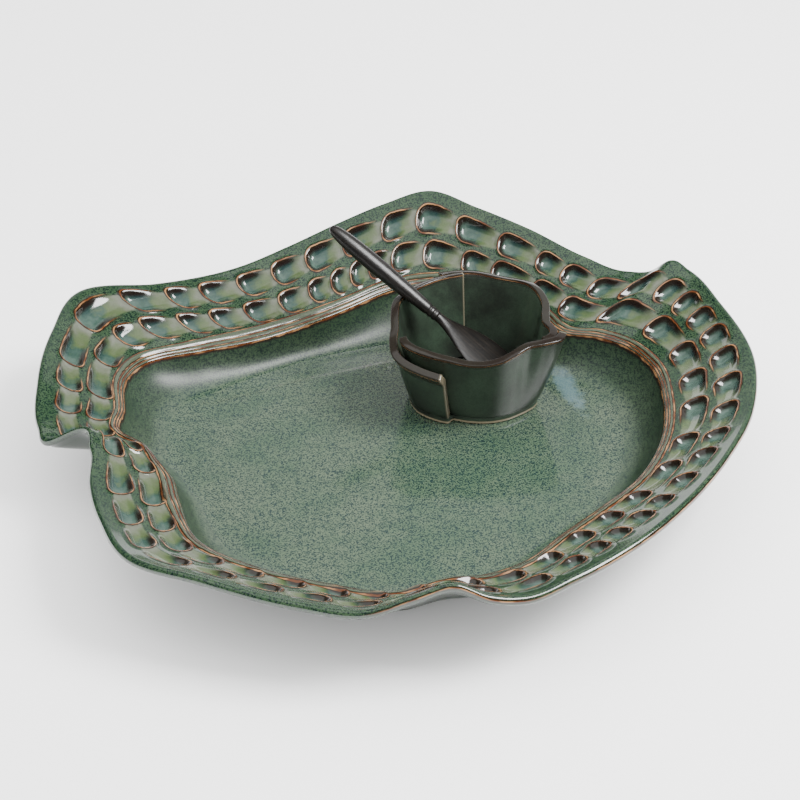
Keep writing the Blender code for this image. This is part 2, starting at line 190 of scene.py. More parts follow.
def around(stations, column, bearings):
    """Smooth closed curve through one column of the stations, read at bearings in degrees."""
    at = np.array([row[0] for row in stations], float)
    value = np.array([row[column] for row in stations], float)
    at = np.concatenate((at[-2:] - 360.0, at, at[:3] + 360.0))
    value = np.concatenate((value[-2:], value, value[:3]))
    slope = np.gradient(value, at)
    where = (np.asarray(bearings, float) - at[1]) % 360.0 + at[1]
    left = np.clip(np.searchsorted(at, where, side="right") - 1, 0, len(at) - 2)
    return hermite(at, value, slope, left, where)


def hermite(at, value, slope, left, where):
    """Cubic between two stations that keeps the slope at both."""
    span = at[left + 1] - at[left]
    t = (where - at[left]) / span
    rise = value[left] * (2 * t**3 - 3 * t**2 + 1) + value[left + 1] * (3 * t**2 - 2 * t**3)
    lean = slope[left] * (t**3 - 2 * t**2 + t) + slope[left + 1] * (t**3 - t**2)
    return rise + lean * span


def smooth_step(low, high, x):
    """0 at low, 1 at high and smooth between; low may be the larger."""
    t = np.clip((x - low) / (high - low), 0.0, 1.0)
    return t * t * (3.0 - 2.0 * t)


def rim_section(share):
    """Radius and height of the thrown rim's top at shares of its width."""
    bend = (1 - RIM_FLARE) * share + RIM_FLARE * share**2
    return (SHOULDER_RADIUS + (RIM_RADIUS - SHOULDER_RADIUS) * share,
            SHOULDER_HEIGHT + (RIM_HEIGHT - SHOULDER_HEIGHT) * bend)


def thrown_profile():
    """Half section of the round dish, as radius, height and whether the stretch is combed."""
    rows = [(FLOOR_RADIUS * share, FLOOR_HEIGHT, False) for share in np.linspace(0, 0.96, 10)]
    for turn in np.linspace(0.0, WALL_TURN, 10):
        out = math.sin(turn) / math.sin(WALL_TURN)
        up = (1 - math.cos(turn)) / (1 - math.cos(WALL_TURN))
        rows.append((FLOOR_RADIUS + (SHOULDER_RADIUS - FLOOR_RADIUS) * out,
                     FLOOR_HEIGHT + (SHOULDER_HEIGHT - FLOOR_HEIGHT) * up, False))
    rows = [row for row in rows if row[0] < SHOULDER_RADIUS - 0.0045]
    for step in np.linspace(-0.0042, 0.0, 9)[:-1]:
        out = 1 + step / (SHOULDER_RADIUS - FLOOR_RADIUS)
        turn = math.asin(out * math.sin(WALL_TURN))
        up = (1 - math.cos(turn)) / (1 - math.cos(WALL_TURN))
        rows.append((SHOULDER_RADIUS + step,
                     FLOOR_HEIGHT + (SHOULDER_HEIGHT - FLOOR_HEIGHT) * up, True))
    lip = LIP_THICKNESS / 2
    top_share = 1 - lip / (RIM_RADIUS - SHOULDER_RADIUS)
    shares = np.concatenate((np.linspace(0.0, 0.17, 15)[:-1], np.linspace(0.17, top_share, 48)))
    for share in shares:
        radius, height = rim_section(share)
        rows.append((radius, height, True))
    edge_r, edge_z = rows[-1][:2]
    for turn in np.radians((25, 50, 75, 100, 130, 155)):
        rows.append((edge_r + lip * math.sin(turn), edge_z - lip + lip * math.cos(turn), True))
    rows.append((edge_r - lip * 0.2, edge_z - LIP_THICKNESS, True))
    for share in (0.86, 0.72, 0.58, 0.44, 0.30, 0.15):
        radius, height = rim_section(share)
        thick = WALL_THICKNESS + (LIP_THICKNESS - WALL_THICKNESS) * share
        rows.append((radius + 0.3 * thick, height - thick, False))
    foot_top = FLOOR_HEIGHT - FLOOR_THICKNESS
    drop = SHOULDER_HEIGHT - WALL_THICKNESS - foot_top
    outer = SHOULDER_RADIUS + 0.5 * WALL_THICKNESS
    inner = FLOOR_RADIUS + 0.2 * WALL_THICKNESS
    for out, up in ((1.0, 1.0), (0.90, 0.77), (0.80, 0.58), (0.67, 0.40), (0.52, 0.25),
                    (0.36, 0.12), (0.20, 0.04), (0.0, 0.0)):
        rows.append((inner + (outer - inner) * out, foot_top + drop * up, False))
    ring = FOOT_RADIUS - FOOT_WIDTH
    for radius, height in ((FOOT_RADIUS + 2 * FOOT_BEVEL, foot_top), (FOOT_RADIUS, FOOT_BEVEL),
                           (FOOT_RADIUS - 0.3 * FOOT_BEVEL, 0.3 * FOOT_BEVEL),
                           (FOOT_RADIUS - FOOT_BEVEL, 0.0), (ring + FOOT_BEVEL, 0.0),
                           (ring + 0.3 * FOOT_BEVEL, 0.3 * FOOT_BEVEL), (ring, FOOT_BEVEL),
                           (ring - FOOT_BEVEL, foot_top), (ring * 0.75, foot_top),
                           (ring * 0.5, foot_top), (ring * 0.25, foot_top), (0.0, foot_top)):
        rows.append((radius, height, False))
    return rows


def rim_edge(bearings):
    """The pinched rim's edge at bearings in degrees."""
    turn = np.radians(bearings)
    reach = RIM_RADIUS + MM * around(RIM_RUFFLE, 1, bearings)
    height = RIM_HEIGHT + MM * around(RIM_RUFFLE, 2, bearings)
    return reach * np.cos(turn), reach * np.sin(turn), height


FINE_BEARINGS = np.linspace(0.0, 360.0, 3601)
edge_x, edge_y, edge_z = rim_edge(FINE_BEARINGS)
EDGE_RUN = np.concatenate(([0.0], np.cumsum(np.sqrt(
    np.diff(edge_x)**2 + np.diff(edge_y)**2 + np.diff(edge_z)**2))))
CENTRE = ((edge_x.max() + edge_x.min()) / 2, (edge_y.max() + edge_y.min()) / 2)


def ruffled(radius, height, bearing):
    """Where a point of the round dish lies once the rim is pinched."""
    shoulder_out = MM * around(SHOULDER_RUFFLE, 1, bearing)
    shoulder_up = MM * around(SHOULDER_RUFFLE, 2, bearing)
    rim_out = MM * around(RIM_RUFFLE, 1, bearing)
    rim_up = MM * around(RIM_RUFFLE, 2, bearing)
    inside = np.clip(radius / SHOULDER_RADIUS, 0.0, 1.0)
    across = np.clip((radius - SHOULDER_RADIUS) / (RIM_RADIUS - SHOULDER_RADIUS), 0.0, 1.1)
    climb = np.clip((radius - FLOOR_RADIUS) / (SHOULDER_RADIUS - FLOOR_RADIUS), 0.0, 1.0)
    on_foot = np.clip((radius - FOOT_RADIUS) / (FLOOR_RADIUS - FOOT_RADIUS), 0.0, 1.0)
    push = shoulder_out * inside**4 * on_foot + (rim_out - shoulder_out) * across
    lift = shoulder_up * climb**1.5 + (rim_up - shoulder_up) * across
    turn = np.radians(bearing)
    return np.stack(((radius + push) * np.cos(turn) - CENTRE[0],
                     (radius + push) * np.sin(turn) - CENTRE[1], height + lift), -1)


def row_run(share):
    """Millimetres run along the rim at a share of its width, at each of FINE_BEARINGS."""
    radius, height = rim_section(np.full_like(FINE_BEARINGS, share))
    line = ruffled(radius, height, FINE_BEARINGS)
    return np.concatenate(([0.0], np.cumsum(np.linalg.norm(np.diff(line, axis=0), axis=1)))) / MM


def print_place(prints, run, bearing):
    """How many prints lie before each point, counted along the row, and the local pitch."""
    starts = np.interp(prints, FINE_BEARINGS, run)
    total = run[-1]
    at = np.concatenate((starts[-2:] - total, starts, starts[:2] + total))
    phase = np.interp(np.interp(bearing, FINE_BEARINGS, run), at, np.arange(len(at), dtype=float))
    pitch = np.diff(at)[np.clip(np.ceil(phase).astype(int) - 1, 0, len(at) - 2)]
    return phase, pitch


def arch_depth(past, across):
    """How far inside the arch of a steep end a point lies, millimetres."""
    back = np.maximum(PRINT_ROUND - past, 0.0)
    return PRINT_ROUND - (back**PRINT_SQUARE + np.abs(across)**PRINT_SQUARE)**(1 / PRINT_SQUARE)


def print_height(phase, pitch, row_y):
    """Height of one row of finger prints in millimetres: each is an arch that opens backward."""
    share = np.ceil(phase) - phase
    across = row_y * PRINT_HALF_WIDTH
    inside = arch_depth(share * pitch, np.abs(across) + PRINT_TAPER * share**2)
    next_end = arch_depth(-(1 - share) * pitch, across)
    fade = np.where(across > 0, smooth_step(0.95, 0.45, share), smooth_step(0.70, 0.25, share))
    hollow = smooth_step(0.0, PRINT_WALL, inside) * (1 - share)**0.9 * np.minimum(pitch / 14, 1)
    crest = 0.75 * (np.exp(-(inside / 1.0)**2) * fade + np.exp(-(next_end / 1.0)**2))
    return crest - PRINT_DEPTH * hollow


profile = thrown_profile()
outline = bpy.data.meshes.new("platter_outline")
outline.from_pydata([(r, 0.0, z) for r, z, _ in profile],
                    [(i, i + 1) for i in range(len(profile) - 1)], [])
platter = bpy.data.objects.new("stoneware_platter", outline)
bpy.context.scene.collection.objects.link(platter)
only_select(platter)
bpy.ops.object.mode_set(mode="EDIT")
bpy.ops.mesh.select_all(action="SELECT")
bpy.ops.mesh.spin(steps=COLUMNS, angle=2 * math.pi, center=(0, 0, 0), axis=(0, 0, 1))
bpy.ops.mesh.select_all(action="SELECT")
bpy.ops.mesh.remove_doubles(threshold=0.00001)
bpy.ops.mesh.normals_make_consistent(inside=False)
bpy.ops.object.mode_set(mode="OBJECT")


def read_points(mesh):
    """The vertices' positions as rows."""
    co = np.empty(len(mesh.vertices) * 3, np.float32)
    mesh.vertices.foreach_get("co", co)
    return co.reshape(-1, 3).astype(float)


def write_points(mesh, co):
    """Move the vertices to the positions given as rows."""
    mesh.vertices.foreach_set("co", co.astype(np.float32).ravel())
    mesh.update()


def write_attribute(mesh, name, values):
    """Store one vector for each vertex."""
    layer = mesh.attributes.new(name, "FLOAT_VECTOR", "POINT")
    layer.data.foreach_set("vector", np.asarray(values, np.float32).ravel())


def profile_rows(co):
    """Which point of the half section each vertex was turned from."""
    radius = np.hypot(co[:, 0], co[:, 1])
    rz = np.stack((radius, co[:, 2]), 1)
    rows = np.empty(len(co), int)
    section = np.array([(r, z) for r, z, _ in profile])
    for start in range(0, len(co), 20000):
        part = rz[start:start + 20000]
        rows[start:start + 20000] = ((part[:, None] - section)**2).sum(-1).argmin(1)
    return rows


# The well and the underside carry no prints, so every other spoke goes there.
co = read_points(platter.data)
rows = profile_rows(co)
combed = np.array([row[2] for row in profile])
column = np.round(np.degrees(np.arctan2(co[:, 1], co[:, 0])) % 360.0 / 360.0 * COLUMNS).astype(int)
ends = np.empty(len(platter.data.edges) * 2, int)
platter.data.edges.foreach_get("vertices", ends)
ends = ends.reshape(-1, 2)
spoke = (column[ends[:, 0]] == column[ends[:, 1]]) & (rows[ends[:, 0]] != rows[ends[:, 1]])
plain = ~(combed[rows[ends[:, 0]]] & combed[rows[ends[:, 1]]])
near_pole = (np.hypot(*co[ends[:, 0], :2].T) < 1e-6) | (np.hypot(*co[ends[:, 1], :2].T) < 1e-6)
odd_spokes = spoke & plain & ~near_pole & (column[ends[:, 0]] % 2 == 1)
odd_spokes |= near_pole & (np.maximum(column[ends[:, 0]], column[ends[:, 1]]) % 2 == 1)
bpy.ops.object.mode_set(mode="EDIT")
bpy.ops.mesh.select_mode(type="EDGE")
bpy.ops.mesh.select_all(action="DESELECT")
bpy.ops.object.mode_set(mode="OBJECT")
platter.data.edges.foreach_set("select", odd_spokes)
bpy.ops.object.mode_set(mode="EDIT")
bpy.ops.mesh.dissolve_edges(use_verts=True)
bpy.ops.mesh.select_mode(type="VERT")
bpy.ops.object.mode_set(mode="OBJECT")

co = read_points(platter.data)
rows = profile_rows(co)
radius = np.hypot(co[:, 0], co[:, 1])
thrown = np.degrees(np.arctan2(co[:, 1], co[:, 0])) % 360.0
bearing = np.interp(thrown / 360.0 * EDGE_RUN[-1], EDGE_RUN, FINE_BEARINGS)
write_points(platter.data, ruffled(radius, co[:, 2], bearing))

# Comb the grooves and press the prints into the top of the rim, along its own normals.
normal = np.empty(len(platter.data.vertices) * 3, np.float32)
platter.data.vertex_normals.foreach_get("vector", normal)
normal = normal.reshape(-1, 3)
top_rows = next(i for i, row in enumerate(profile) if row[0] > RIM_RADIUS - LIP_THICKNESS / 2)
on_top = rows < top_rows
share = (radius - SHOULDER_RADIUS) / (RIM_RADIUS - SHOULDER_RADIUS)
wide = np.hypot(RIM_RADIUS - SHOULDER_RADIUS + MM * (around(RIM_RUFFLE, 1, bearing)
                                                     - around(SHOULDER_RUFFLE, 1, bearing)),
                RIM_HEIGHT - SHOULDER_HEIGHT + MM * (around(RIM_RUFFLE, 2, bearing)
                                                     - around(SHOULDER_RUFFLE, 2, bearing))) / MM
from_shoulder = share * wide
past_lip = np.cumsum([0.0] + [math.hypot(b[0] - a[0], b[1] - a[1])
                              for a, b in zip(profile[top_rows:], profile[top_rows + 1:])]) / MM
rim_share = np.where(on_top, share, 1.0 + past_lip[np.maximum(rows - top_rows, 0)] / 10.0)

row_y = {}
press = np.zeros(len(co))
marks = {}
for name, prints, step in (("inner", INNER_PRINTS, 0.0), ("outer", OUTER_PRINTS, ROW_STEP)):
    middle = around(ROW_DRIFT, 1, bearing) + step
    row_y[name] = (share - middle) / PRINT_HALF_SHARE
    phase, pitch = print_place(prints, row_run(0.30 + step), bearing)
    press += print_height(phase, pitch, row_y[name])
    marks[name] = np.stack((np.cos(2 * math.pi * phase), -np.sin(2 * math.pi * phase), pitch), -1)
band = around(GROOVE_BAND, 1, bearing)
in_band = from_shoulder / band
for near, far in zip(GROOVE_SHARES, GROOVE_SHARES[1:]):
    hump = np.sin(math.pi * np.clip((in_band - near) / (far - near), 0.0, 1.0))
    press += RIDGE_HEIGHT * (far - near) / 0.3 * np.abs(hump)**0.8 * 0.75
press = np.where(on_top, press, 0.0)
write_points(platter.data, read_points(platter.data) + MM * press[:, None] * normal)
write_attribute(platter.data, "rim_place", np.stack((in_band, rim_share, row_y["inner"]), -1))
write_attribute(platter.data, "inner_print", marks["inner"])
write_attribute(platter.data, "outer_print", marks["outer"])
write_attribute(platter.data, "press", np.stack((press, on_top * 1.0, band), -1))
platter.data.shade_smooth()


def calc(tree, operation, *values):
    """Result of a math node."""
    made = tree.nodes.new("ShaderNodeMath")
    made.operation = operation
    for socket, value in zip(made.inputs, values):
        if isinstance(value, bpy.types.NodeSocket):
            tree.links.new(value, socket)
        else:
            socket.default_value = value
    return made.outputs[0]


def mixed(tree, factor, first, second, mode="MIX"):
    """Blend of two colours, given as sockets or as colours."""
    made = tree.nodes.new("ShaderNodeMix")
    made.data_type = "RGBA"
    made.blend_type = mode
    for socket, value in zip((made.inputs[0], made.inputs[6], made.inputs[7]),
                             (factor, first, second)):
        if isinstance(value, bpy.types.NodeSocket):
            tree.links.new(value, socket)
        else:
            socket.default_value = value if isinstance(value, float) else (*value[:3], 1.0)
    return made.outputs[2]


def step_mask(tree, value, low, high):
    """0 below low, 1 above high and smooth between; low may be the larger, which turns it round."""
    made = node(tree, "MapRange", {0: value, 1: low, 2: high}, interpolation_type="SMOOTHSTEP")
    if low > high:
        made.inputs[1].default_value, made.inputs[2].default_value = high, low
        made.inputs[3].default_value, made.inputs[4].default_value = 1.0, 0.0
    return made.outputs[0]


def colour_ramp(tree, factor, stops):
    """Colour ramp through (position, colour) stops."""
    made = node(tree, "ValToRGB", {0: factor})
    while len(made.color_ramp.elements) < len(stops):
        made.color_ramp.elements.new(0.5)
    for element, (place, colour) in zip(made.color_ramp.elements, stops):
        element.position = place
        element.color = (*colour, 1.0)
    return made.outputs[0]


def new_group(name, inputs, outputs):
    """Empty shader group with named sockets; returns it with its inner input and output nodes."""
    tree = bpy.data.node_groups.new(name, "ShaderNodeTree")
    for label, kind, value in inputs:
        tree.interface.new_socket(label, in_out="INPUT", socket_type=kind).default_value = value
    for label, kind in outputs:
        tree.interface.new_socket(label, in_out="OUTPUT", socket_type=kind)
    return tree, tree.nodes.new("NodeGroupInput").outputs, tree.nodes.new("NodeGroupOutput").inputs


def use_group(tree, group, inputs):
    """Place a shader group in a node tree."""
    made = tree.nodes.new("ShaderNodeGroup")
    made.node_tree = group
    for key, value in inputs.items():
        if isinstance(value, bpy.types.NodeSocket):
            tree.links.new(value, made.inputs[key])
        else:
            made.inputs[key].default_value = value
    return made.outputs


def glaze_speckle_group():
    """Fired glaze: fine dark specks over clouds of two greens.  The vector is in millimetres."""
    colour, number = "NodeSocketColor", "NodeSocketFloat"
    group, given, result = new_group("glaze_speckle", (
        ("Vector", "NodeSocketVector", (0, 0, 0)), ("Light", colour, (0.2, 0.3, 0.25, 1)),
        ("Body", colour, (0.1, 0.2, 0.15, 1)), ("Speck", colour, (0.03, 0.08, 0.09, 1)),
        ("Speck Amount", number, 0.5)), (("Color", colour), ("Height", number)))
    cloud = node(group, "TexNoise", {"Vector": given["Vector"], "Scale": 0.035, "Detail": 5.0,
                                     "Roughness": 0.6})
    body = mixed(group, step_mask(group, cloud.outputs[0], 0.30, 0.70), given["Light"],
                 given["Body"])
    fine = node(group, "TexNoise", {"Vector": given["Vector"], "Scale": 1.25, "Detail": 2.0,
                                    "Roughness": 0.55})
    coarse = node(group, "TexNoise", {"Vector": given["Vector"], "Scale": 0.45, "Detail": 3.0,
                                      "Roughness": 0.6})
    specks = step_mask(group, calc(group, "ADD", fine.outputs[0],
                                   calc(group, "MULTIPLY", coarse.outputs[0], 0.35)), 0.62, 0.78)
    specks = calc(group, "MULTIPLY", specks, given["Speck Amount"])
    group.links.new(mixed(group, specks, body, given["Speck"]), result["Color"])
    group.links.new(fine.outputs[0], result["Height"])
    return group


BREAK_DARK = (0.012, 0.007, 0.004)
BREAK_RUST = (0.075, 0.024, 0.008)
BREAK_CREAM = (0.240, 0.125, 0.055)


def glaze_break_group():
    """Where glaze runs thin over an edge: dark brown either side of an orange and cream core."""
    colour, number = "NodeSocketColor", "NodeSocketFloat"
    group, given, result = new_group("glaze_break", (
        ("Vector", "NodeSocketVector", (0, 0, 0)), ("Glaze", colour, (0.2, 0.3, 0.25, 1)),
        ("Distance", number, 10.0), ("Width", number, 1.0), ("Strength", number, 1.0)),
        (("Color", colour),))
    wander = node(group, "TexNoise", {"Vector": given["Vector"], "Scale": 0.22, "Detail": 2.0})
    worn = node(group, "TexNoise", {"Vector": given["Vector"], "Scale": 0.12, "Detail": 1.0})
    distance = calc(group, "ADD", given["Distance"],
                    calc(group, "MULTIPLY", calc(group, "SUBTRACT", wander.outputs[0], 0.5), 0.8))
    distance = calc(group, "DIVIDE", calc(group, "ABSOLUTE", distance), given["Width"])
    dark = calc(group, "MULTIPLY", step_mask(group, distance, 1.45, 0.60), given["Strength"])
    core = calc(group, "MULTIPLY", step_mask(group, distance, 0.48, 0.20), given["Strength"])
    rust = mixed(group, step_mask(group, worn.outputs[0], 0.40, 0.62), BREAK_RUST, BREAK_CREAM)
    shaded = mixed(group, dark, given["Glaze"], BREAK_DARK)
    group.links.new(mixed(group, core, shaded, rust), result["Color"])
    return group


speckle_group = glaze_speckle_group()
break_group = glaze_break_group()

SAGE_LIGHT = (0.066, 0.090, 0.058, 1.0)
SAGE_BODY = (0.042, 0.070, 0.042, 1.0)
SAGE_SPECK = (0.006, 0.017, 0.019, 1.0)
RAISED_TINT = (0.45, 0.57, 0.46)
# A short pale blue-green streak in the well beside the bowl: its middle in millimetres, its turn,
# and one over its half length and half width.
PALE_STREAK = (0.085, 0.140, 0.155)
PALE_STREAK_MIDDLE = (93, 61, 14.0)
PALE_STREAK_TURN = math.radians(75)
PALE_STREAK_SPREAD = (1 / 34, 1 / 8, 0.0)
WALL_BROWN = (0.009, 0.004, 0.003)
RIDGE_PALE = (0.070, 0.080, 0.055)
BARE_CLAY = (0.36, 0.28, 0.19)
# Painted shade: the outer side of the lip and the underside of the platter get this darker green.
PAINTED_UNDERSIDE_SHADE = (0.016, 0.024, 0.018)
PRINT_SHADE = (0.006, 0.018, 0.024)
# The glaze pooled in a print, from its steep end to its shallow one.
PRINT_POOLS = ((0.00, (0.022, 0.040, 0.032)), (0.22, (0.060, 0.095, 0.080)),
               (0.42, (0.024, 0.050, 0.042)), (0.60, (0.060, 0.085, 0.034)),
               (0.78, (0.075, 0.092, 0.050)), (0.95, (0.110, 0.115, 0.090)))
GLOSSY, SATIN, DRY = (0.13,) * 3, (0.42,) * 3, (0.8,) * 3      # roughness, as greys


def arch_nodes(tree, past, across):
    """The same measure as arch_depth, in shader nodes."""
    back = calc(tree, "MAXIMUM", calc(tree, "SUBTRACT", PRINT_ROUND, past), 0.0)
    total = calc(tree, "ADD", calc(tree, "POWER", back, PRINT_SQUARE),
                 calc(tree, "POWER", across, PRINT_SQUARE))
    return calc(tree, "SUBTRACT", PRINT_ROUND, calc(tree, "POWER", total, 1 / PRINT_SQUARE))


def print_marks(tree, attribute, row):
    """How deep inside a print a point is, the strength of its line there and its progress."""
    mark = node(tree, "SeparateXYZ", {0: node(tree, "Attribute", attribute_name=attribute,
                                              attribute_type="GEOMETRY").outputs["Vector"]})
    turn = calc(tree, "DIVIDE", calc(tree, "ARCTAN2", mark.outputs[1], mark.outputs[0]),
                2 * math.pi)
    progress = calc(tree, "FRACT", calc(tree, "ADD", turn, 1.0))
    past = calc(tree, "MULTIPLY", progress, mark.outputs[2])
    across = calc(tree, "MULTIPLY", calc(tree, "ABSOLUTE", row), PRINT_HALF_WIDTH)
    narrowed = calc(tree, "ADD", across,
                    calc(tree, "MULTIPLY", calc(tree, "POWER", progress, 2.0), PRINT_TAPER))
    inside = arch_nodes(tree, past, narrowed)
    next_end = arch_nodes(tree, calc(tree, "SUBTRACT", past, mark.outputs[2]), across)
    far_side = calc(tree, "GREATER_THAN", row, 0.0)
    fade = calc(tree, "ADD", calc(tree, "MULTIPLY", far_side, step_mask(tree, progress, 0.95, 0.50)),
                calc(tree, "MULTIPLY", calc(tree, "SUBTRACT", 1.0, far_side),
                     step_mask(tree, progress, 0.72, 0.30)))
    own_is_near = calc(tree, "LESS_THAN", calc(tree, "ABSOLUTE", inside),
                       calc(tree, "ABSOLUTE", next_end))
    strength = calc(tree, "ADD", calc(tree, "MULTIPLY", own_is_near, fade),
                    calc(tree, "SUBTRACT", 1.0, own_is_near))
    signed = calc(tree, "ADD", calc(tree, "MULTIPLY", own_is_near, inside),
                  calc(tree, "MULTIPLY", calc(tree, "SUBTRACT", 1.0, own_is_near), next_end))
    return inside, signed, strength, progress


def sage_glaze():
    """Speckled green glaze that pools in the prints and breaks brown over every edge, with painted
    shade under the rim.
    """
    material, tree, shader = new_material("sage_glaze_break")
    place = node(tree, "TexCoord").outputs["Object"]
    mm = node(tree, "VectorMath", {0: place, "Scale": 1000.0}, operation="SCALE").outputs[0]
    rim = node(tree, "SeparateXYZ", {0: node(tree, "Attribute", attribute_name="rim_place",
                                             attribute_type="GEOMETRY").outputs["Vector"]})
    pressed = node(tree, "SeparateXYZ", {0: node(tree, "Attribute", attribute_name="press",
                                                 attribute_type="GEOMETRY").outputs["Vector"]})
    in_band, across, inner_row = rim.outputs
    outer_row = calc(tree, "SUBTRACT", inner_row, ROW_STEP / PRINT_HALF_SHARE)
    speckled = use_group(tree, speckle_group, {
        "Vector": mm, "Light": SAGE_LIGHT, "Body": SAGE_BODY, "Speck": SAGE_SPECK,
        "Speck Amount": 0.95})
    sides = node(tree, "SeparateXYZ", {0: place})
    height = sides.outputs[2]
    raised = step_mask(tree, height, 0.0145, 0.0190)
    colour = mixed(tree, raised, speckled["Color"], RAISED_TINT, mode="MULTIPLY")
    # The pale blue-green streak in the well, with ragged edges, kept off the raised rim.
    run = node(tree, "VectorMath", {0: mm, 1: PALE_STREAK_MIDDLE}, operation="SUBTRACT").outputs[0]
    run = node(tree, "VectorRotate", {"Vector": run, "Angle": PALE_STREAK_TURN},
               rotation_type="Z_AXIS").outputs[0]
    run = node(tree, "VectorMath", {0: run, 1: PALE_STREAK_SPREAD}, operation="MULTIPLY").outputs[0]
    run = node(tree, "VectorMath", {0: run}, operation="LENGTH").outputs["Value"]
    ragged = node(tree, "TexNoise", {"Vector": mm, "Scale": 0.25, "Detail": 4.0}).outputs[0]
    run = step_mask(tree, calc(tree, "ADD", run, ragged), 1.45, 0.75)
    run = calc(tree, "MULTIPLY", run, calc(tree, "SUBTRACT", 1.0, raised))
    colour = mixed(tree, calc(tree, "MULTIPLY", run, 0.6), colour, PALE_STREAK)
    stir = node(tree, "TexNoise", {"Vector": mm, "Scale": 0.16, "Detail": 3.0}).outputs[0]
    stir = calc(tree, "MULTIPLY", calc(tree, "SUBTRACT", stir, 0.5), 0.7)
    on_top = pressed.outputs[1]
    for attribute, row in (("inner_print", inner_row), ("outer_print", outer_row)):
        inside, signed, strength, progress = print_marks(tree, attribute, row)
        in_print = step_mask(tree, inside, 0.0, 1.6)
        pool = colour_ramp(tree, calc(tree, "ADD", progress, stir), PRINT_POOLS)
        deep = calc(tree, "MULTIPLY", step_mask(tree, row, 0.0, 0.6),
                    calc(tree, "MULTIPLY", step_mask(tree, progress, 0.15, 0.35),
                         step_mask(tree, progress, 0.85, 0.6)))
        pool = mixed(tree, calc(tree, "MULTIPLY", deep, 0.8), pool, PRINT_SHADE)
        colour = mixed(tree, calc(tree, "MULTIPLY", in_print, 0.75), colour, pool)
        wall = calc(tree, "MULTIPLY", step_mask(tree, signed, -0.2, 0.5),
                    step_mask(tree, signed, 3.4, 1.6))
        wall = calc(tree, "MULTIPLY", wall, calc(tree, "MULTIPLY", strength, on_top))
        colour = mixed(tree, calc(tree, "MULTIPLY", wall, 0.9), colour, WALL_BROWN)
        lines = use_group(tree, break_group, {"Vector": mm, "Glaze": colour, "Distance": signed,
                                              "Width": 0.8,
                                              "Strength": calc(tree, "MULTIPLY", strength, on_top)})
        colour = lines["Color"]
    band = pressed.outputs[2]
    gaps = [calc(tree, "ABSOLUTE", calc(tree, "SUBTRACT", in_band, line))
            for line in GROOVE_SHARES]
    nearest = calc(tree, "MINIMUM", calc(tree, "MINIMUM", gaps[0], gaps[1]),
                   calc(tree, "MINIMUM", gaps[2], gaps[3]))
    ridge = calc(tree, "MULTIPLY", step_mask(tree, in_band, -0.02, 0.05),
                 step_mask(tree, in_band, 1.0, 0.93))
    colour = mixed(tree, calc(tree, "MULTIPLY", ridge, 0.55), colour, RIDGE_PALE)
    grooves = use_group(tree, break_group, {
        "Vector": mm, "Glaze": colour, "Distance": calc(tree, "MULTIPLY", nearest, band),
        "Width": 0.65, "Strength": on_top})
    to_lip = calc(tree, "MULTIPLY", calc(tree, "SUBTRACT", across, 1.18), 10.0)
    thin = node(tree, "TexNoise", {"Vector": mm, "Scale": 0.018, "Detail": 2.0}).outputs[0]
    thin = step_mask(tree, calc(tree, "ADD", thin, calc(tree, "MULTIPLY", sides.outputs[0], 2.2)),
                     0.45, 0.75)
    lip = use_group(tree, break_group, {"Vector": mm, "Glaze": grooves["Color"],
                                        "Distance": to_lip, "Width": 1.0, "Strength": thin})
    # Painted shade under the rim: the lip's outer side and the underside are mixed towards a darker
    # green.
    under = step_mask(tree, across, 1.2, 1.5)
    colour = mixed(tree, calc(tree, "MULTIPLY", under, 0.8), lip["Color"], PAINTED_UNDERSIDE_SHADE)
    bare = step_mask(tree, height, 0.0022, 0.0016)
    colour = mixed(tree, bare, colour, BARE_CLAY)
    tree.links.new(colour, shader.inputs["Base Color"])
    slope = calc(tree, "MULTIPLY", step_mask(tree, height, 0.0134, 0.0146),
                 step_mask(tree, in_band, 0.0, -0.05))
    gloss = mixed(tree, slope, GLOSSY, SATIN)
    tree.links.new(mixed(tree, bare, gloss, DRY), shader.inputs["Roughness"])
    bump = node(tree, "Bump", {"Height": speckled["Height"], "Strength": 0.06, "Distance": 0.0004})
    tree.links.new(bump.outputs[0], shader.inputs["Normal"])
    shader.inputs["IOR"].default_value = 1.52
    tree.links.new(calc(tree, "MULTIPLY", calc(tree, "SUBTRACT", 1.0, slope), 0.4),
                   shader.inputs["Coat Weight"])
    shader.inputs["Coat Roughness"].default_value = 0.05
    return material


platter.data.materials.append(sage_glaze())
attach(platter, "platter")
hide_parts("platter")


# ------------------------------------------------------------------------------------------
# Dip bowl
# Four slabs of rolled clay: a base, and three walls bent up on it.  Each wall starts inside one
# neighbour and ends outside the other, so the cut ends show as laps.
BOWL_FLOOR = FLOOR_HEIGHT + 0.0003
BOWL_BASE_THICKNESS = 0.0040
SLAB_GAP = 0.0003
BOWL_RADIUS, BOWL_WALL_HEIGHT = 0.0430, 0.0430
BOWL_FOOT_SHARE, BOWL_FLARE, BOWL_FOOT_ROUNDNESS = 0.74, 0.8, 0.80
BOWL_BEARING, BOWL_CLEARANCE = math.radians(54.2), 0.0073
BOWL_REACH = FLOOR_RADIUS - BOWL_RADIUS * BOWL_FOOT_SHARE - BOWL_CLEARANCE
BOWL_X = BOWL_REACH * math.cos(BOWL_BEARING) - CENTRE[0]
BOWL_Y = BOWL_REACH * math.sin(BOWL_BEARING) - CENTRE[1]
SLAB_THICKNESS, LAP_GAP = 0.0042, 0.0007
LAP_START, LAP_RUN = 0.18, 0.64
SLAB_EDGE, BASE_EDGE = 0.0019, 0.0007      # how far the wet clay's edges are rounded
BOWL_OUTLINE = (
    (0, -2), (25, 1), (48, 3), (70, 1), (97, 1), (120, 1), (140, 1), (158, 1.5), (177, -1),
    (193, -1), (206, 2), (218, 5.5), (234, 3.5), (250, 0), (266, -1), (284, -2), (300, -4),
    (314, -4.5), (324, 0), (333, 4.5), (342, 3.5), (350, -1),
)
